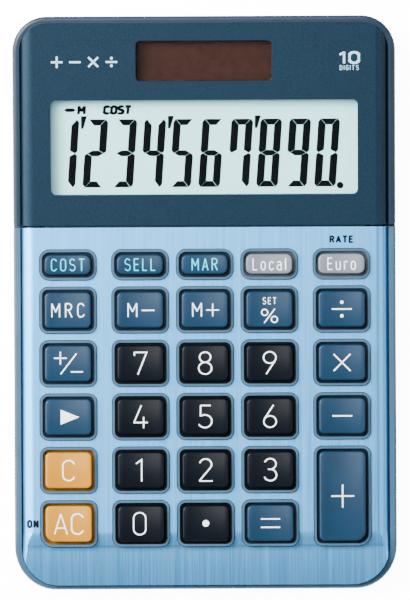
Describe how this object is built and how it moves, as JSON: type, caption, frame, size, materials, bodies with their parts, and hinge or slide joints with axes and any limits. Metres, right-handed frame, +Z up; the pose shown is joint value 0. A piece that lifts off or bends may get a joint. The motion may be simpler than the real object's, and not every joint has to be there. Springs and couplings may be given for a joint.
{
  "type": "desk calculator",
  "caption": "Desk calculator with a sloped brushed-metal keypad of sprung keys, a tilted numeric display, a solar window and a coin-battery bay underneath.",
  "frame": {"origin": "middle of the footprint, on the table under the rubber feet", "axes": "+X to the user's right, +Y towards the rear (display) edge, +Z up"},
  "size_m": [0.103, 0.153, 0.03],
  "materials": {
    "bottom_plastic": "fine spark-eroded texture",
    "keyboard_plastic": "fine satin",
    "brushed_plate": "anodised light blue, brushed front to rear",
    "display_plastic": "fine satin",
    "display_panel": "navy metallic lacquer",
    "clear_window": "polished clear acrylic",
    "lcd": "pale grey-green display glass",
    "reflector": "matt silver film",
    "holder_plastic": "moulded white",
    "screw_steel": "zinc plated",
    "ribbon_film": "amber film",
    "solar": "dark brown amorphous cell",
    "foam": "closed-cell foam",
    "red_lead": "insulated wire",
    "black_lead": "insulated wire",
    "board": "green solder mask",
    "epoxy": "potted black",
    "capacitor_sleeve": "shrunk sleeve",
    "resistor": "ceramic",
    "silicone": "translucent moulded silicone",
    "cell_steel": "nickel plated",
    "contact_steel": "plated spring strip",
    "foot_rubber": "soft matt",
    "key_blue": "satin with fine sparkle",
    "key_dark": "satin",
    "key_grey": "satin",
    "key_orange": "satin"
  },
  "bodies": {
    "root": {"bottom_case": "bottom_plastic", "keyboard_case": "keyboard_plastic", "face_plate": "brushed_plate", "display_case": "display_plastic", "display_cover": "display_panel", "lcd_lens": "clear_window", "solar_lens": "clear_window", "lcd_glass": "lcd", "lcd_reflector": "reflector", "lcd_holder": "holder_plastic", "lcd_holder_screws": "screw_steel", "lcd_ribbon": "ribbon_film", "solar_cell": "solar", "solar_pad": "foam", "solar_leads": "red_lead", "circuit_board": "board", "chip_cover": "epoxy", "power_capacitor": "capacitor_sleeve", "board_resistors": "resistor", "board_screws": "screw_steel", "rubber_keypad": "silicone", "battery": "cell_steel", "battery_contact_positive": "contact_steel", "battery_contact_negative": "contact_steel", "battery_leads": "black_lead", "battery_cover": "bottom_plastic", "battery_cover_screw": "screw_steel", "case_screws": "screw_steel", "rubber_feet": "foot_rubber"},
    "key_cost": {"key_cost": "key_blue"},
    "key_sell": {"key_sell": "key_blue"},
    "key_margin": {"key_margin": "key_blue"},
    "key_local": {"key_local": "key_grey"},
    "key_euro": {"key_euro": "key_grey"},
    "key_memory_recall": {"key_memory_recall": "key_blue"},
    "key_memory_minus": {"key_memory_minus": "key_blue"},
    "key_memory_plus": {"key_memory_plus": "key_blue"},
    "key_percent": {"key_percent": "key_blue"},
    "key_divide": {"key_divide": "key_blue"},
    "key_sign": {"key_sign": "key_blue"},
    "key_7": {"key_7": "key_dark"},
    "key_8": {"key_8": "key_dark"},
    "key_9": {"key_9": "key_dark"},
    "key_multiply": {"key_multiply": "key_blue"},
    "key_delete": {"key_delete": "key_blue"},
    "key_4": {"key_4": "key_dark"},
    "key_5": {"key_5": "key_dark"},
    "key_6": {"key_6": "key_dark"},
    "key_subtract": {"key_subtract": "key_blue"},
    "key_clear": {"key_clear": "key_orange"},
    "key_1": {"key_1": "key_dark"},
    "key_2": {"key_2": "key_dark"},
    "key_3": {"key_3": "key_dark"},
    "key_add": {"key_add": "key_blue"},
    "key_all_clear": {"key_all_clear": "key_orange"},
    "key_0": {"key_0": "key_dark"},
    "key_point": {"key_point": "key_dark"},
    "key_equals": {"key_equals": "key_blue"}
  },
  "joints": [
    {"name": "key_cost_press", "type": "slide", "parent": "root", "child": "key_cost", "axis": [0, 0.0785, -0.9969], "range_m": [0, 0.0015], "stiffness_N_per_m": 400, "springref_m": -0.001, "deforming": ["rubber_keypad"]},
    {"name": "key_sell_press", "type": "slide", "parent": "root", "child": "key_sell", "axis": [0, 0.0785, -0.9969], "range_m": [0, 0.0015], "stiffness_N_per_m": 400, "springref_m": -0.001, "deforming": ["rubber_keypad"]},
    {"name": "key_margin_press", "type": "slide", "parent": "root", "child": "key_margin", "axis": [0, 0.0785, -0.9969], "range_m": [0, 0.0015], "stiffness_N_per_m": 400, "springref_m": -0.001, "deforming": ["rubber_keypad"]},
    {"name": "key_local_press", "type": "slide", "parent": "root", "child": "key_local", "axis": [0, 0.0785, -0.9969], "range_m": [0, 0.0015], "stiffness_N_per_m": 400, "springref_m": -0.001, "deforming": ["rubber_keypad"]},
    {"name": "key_euro_press", "type": "slide", "parent": "root", "child": "key_euro", "axis": [0, 0.0785, -0.9969], "range_m": [0, 0.0015], "stiffness_N_per_m": 400, "springref_m": -0.001, "deforming": ["rubber_keypad"]},
    {"name": "key_memory_recall_press", "type": "slide", "parent": "root", "child": "key_memory_recall", "axis": [0, 0.0785, -0.9969], "range_m": [0, 0.0015], "stiffness_N_per_m": 400, "springref_m": -0.001, "deforming": ["rubber_keypad"]},
    {"name": "key_memory_minus_press", "type": "slide", "parent": "root", "child": "key_memory_minus", "axis": [0, 0.0785, -0.9969], "range_m": [0, 0.0015], "stiffness_N_per_m": 400, "springref_m": -0.001, "deforming": ["rubber_keypad"]},
    {"name": "key_memory_plus_press", "type": "slide", "parent": "root", "child": "key_memory_plus", "axis": [0, 0.0785, -0.9969], "range_m": [0, 0.0015], "stiffness_N_per_m": 400, "springref_m": -0.001, "deforming": ["rubber_keypad"]},
    {"name": "key_percent_press", "type": "slide", "parent": "root", "child": "key_percent", "axis": [0, 0.0785, -0.9969], "range_m": [0, 0.0015], "stiffness_N_per_m": 400, "springref_m": -0.001, "deforming": ["rubber_keypad"]},
    {"name": "key_divide_press", "type": "slide", "parent": "root", "child": "key_divide", "axis": [0, 0.0785, -0.9969], "range_m": [0, 0.0015], "stiffness_N_per_m": 400, "springref_m": -0.001, "deforming": ["rubber_keypad"]},
    {"name": "key_sign_press", "type": "slide", "parent": "root", "child": "key_sign", "axis": [0, 0.0785, -0.9969], "range_m": [0, 0.0015], "stiffness_N_per_m": 400, "springref_m": -0.001, "deforming": ["rubber_keypad"]},
    {"name": "key_7_press", "type": "slide", "parent": "root", "child": "key_7", "axis": [0, 0.0785, -0.9969], "range_m": [0, 0.0015], "stiffness_N_per_m": 400, "springref_m": -0.001, "deforming": ["rubber_keypad"]},
    {"name": "key_8_press", "type": "slide", "parent": "root", "child": "key_8", "axis": [0, 0.0785, -0.9969], "range_m": [0, 0.0015], "stiffness_N_per_m": 400, "springref_m": -0.001, "deforming": ["rubber_keypad"]},
    {"name": "key_9_press", "type": "slide", "parent": "root", "child": "key_9", "axis": [0, 0.0785, -0.9969], "range_m": [0, 0.0015], "stiffness_N_per_m": 400, "springref_m": -0.001, "deforming": ["rubber_keypad"]},
    {"name": "key_multiply_press", "type": "slide", "parent": "root", "child": "key_multiply", "axis": [0, 0.0785, -0.9969], "range_m": [0, 0.0015], "stiffness_N_per_m": 400, "springref_m": -0.001, "deforming": ["rubber_keypad"]},
    {"name": "key_delete_press", "type": "slide", "parent": "root", "child": "key_delete", "axis": [0, 0.0785, -0.9969], "range_m": [0, 0.0015], "stiffness_N_per_m": 400, "springref_m": -0.001, "deforming": ["rubber_keypad"]},
    {"name": "key_4_press", "type": "slide", "parent": "root", "child": "key_4", "axis": [0, 0.0785, -0.9969], "range_m": [0, 0.0015], "stiffness_N_per_m": 400, "springref_m": -0.001, "deforming": ["rubber_keypad"]},
    {"name": "key_5_press", "type": "slide", "parent": "root", "child": "key_5", "axis": [0, 0.0785, -0.9969], "range_m": [0, 0.0015], "stiffness_N_per_m": 400, "springref_m": -0.001, "deforming": ["rubber_keypad"]},
    {"name": "key_6_press", "type": "slide", "parent": "root", "child": "key_6", "axis": [0, 0.0785, -0.9969], "range_m": [0, 0.0015], "stiffness_N_per_m": 400, "springref_m": -0.001, "deforming": ["rubber_keypad"]},
    {"name": "key_subtract_press", "type": "slide", "parent": "root", "child": "key_subtract", "axis": [0, 0.0785, -0.9969], "range_m": [0, 0.0015], "stiffness_N_per_m": 400, "springref_m": -0.001, "deforming": ["rubber_keypad"]},
    {"name": "key_clear_press", "type": "slide", "parent": "root", "child": "key_clear", "axis": [0, 0.0785, -0.9969], "range_m": [0, 0.0015], "stiffness_N_per_m": 400, "springref_m": -0.001, "deforming": ["rubber_keypad"]},
    {"name": "key_1_press", "type": "slide", "parent": "root", "child": "key_1", "axis": [0, 0.0785, -0.9969], "range_m": [0, 0.0015], "stiffness_N_per_m": 400, "springref_m": -0.001, "deforming": ["rubber_keypad"]},
    {"name": "key_2_press", "type": "slide", "parent": "root", "child": "key_2", "axis": [0, 0.0785, -0.9969], "range_m": [0, 0.0015], "stiffness_N_per_m": 400, "springref_m": -0.001, "deforming": ["rubber_keypad"]},
    {"name": "key_3_press", "type": "slide", "parent": "root", "child": "key_3", "axis": [0, 0.0785, -0.9969], "range_m": [0, 0.0015], "stiffness_N_per_m": 400, "springref_m": -0.001, "deforming": ["rubber_keypad"]},
    {"name": "key_add_press", "type": "slide", "parent": "root", "child": "key_add", "axis": [0, 0.0785, -0.9969], "range_m": [0, 0.0015], "stiffness_N_per_m": 400, "springref_m": -0.001, "deforming": ["rubber_keypad"]},
    {"name": "key_all_clear_press", "type": "slide", "parent": "root", "child": "key_all_clear", "axis": [0, 0.0785, -0.9969], "range_m": [0, 0.0015], "stiffness_N_per_m": 400, "springref_m": -0.001, "deforming": ["rubber_keypad"]},
    {"name": "key_0_press", "type": "slide", "parent": "root", "child": "key_0", "axis": [0, 0.0785, -0.9969], "range_m": [0, 0.0015], "stiffness_N_per_m": 400, "springref_m": -0.001, "deforming": ["rubber_keypad"]},
    {"name": "key_point_press", "type": "slide", "parent": "root", "child": "key_point", "axis": [0, 0.0785, -0.9969], "range_m": [0, 0.0015], "stiffness_N_per_m": 400, "springref_m": -0.001, "deforming": ["rubber_keypad"]},
    {"name": "key_equals_press", "type": "slide", "parent": "root", "child": "key_equals", "axis": [0, 0.0785, -0.9969], "range_m": [0, 0.0015], "stiffness_N_per_m": 400, "springref_m": -0.001, "deforming": ["rubber_keypad"]}
  ]
}
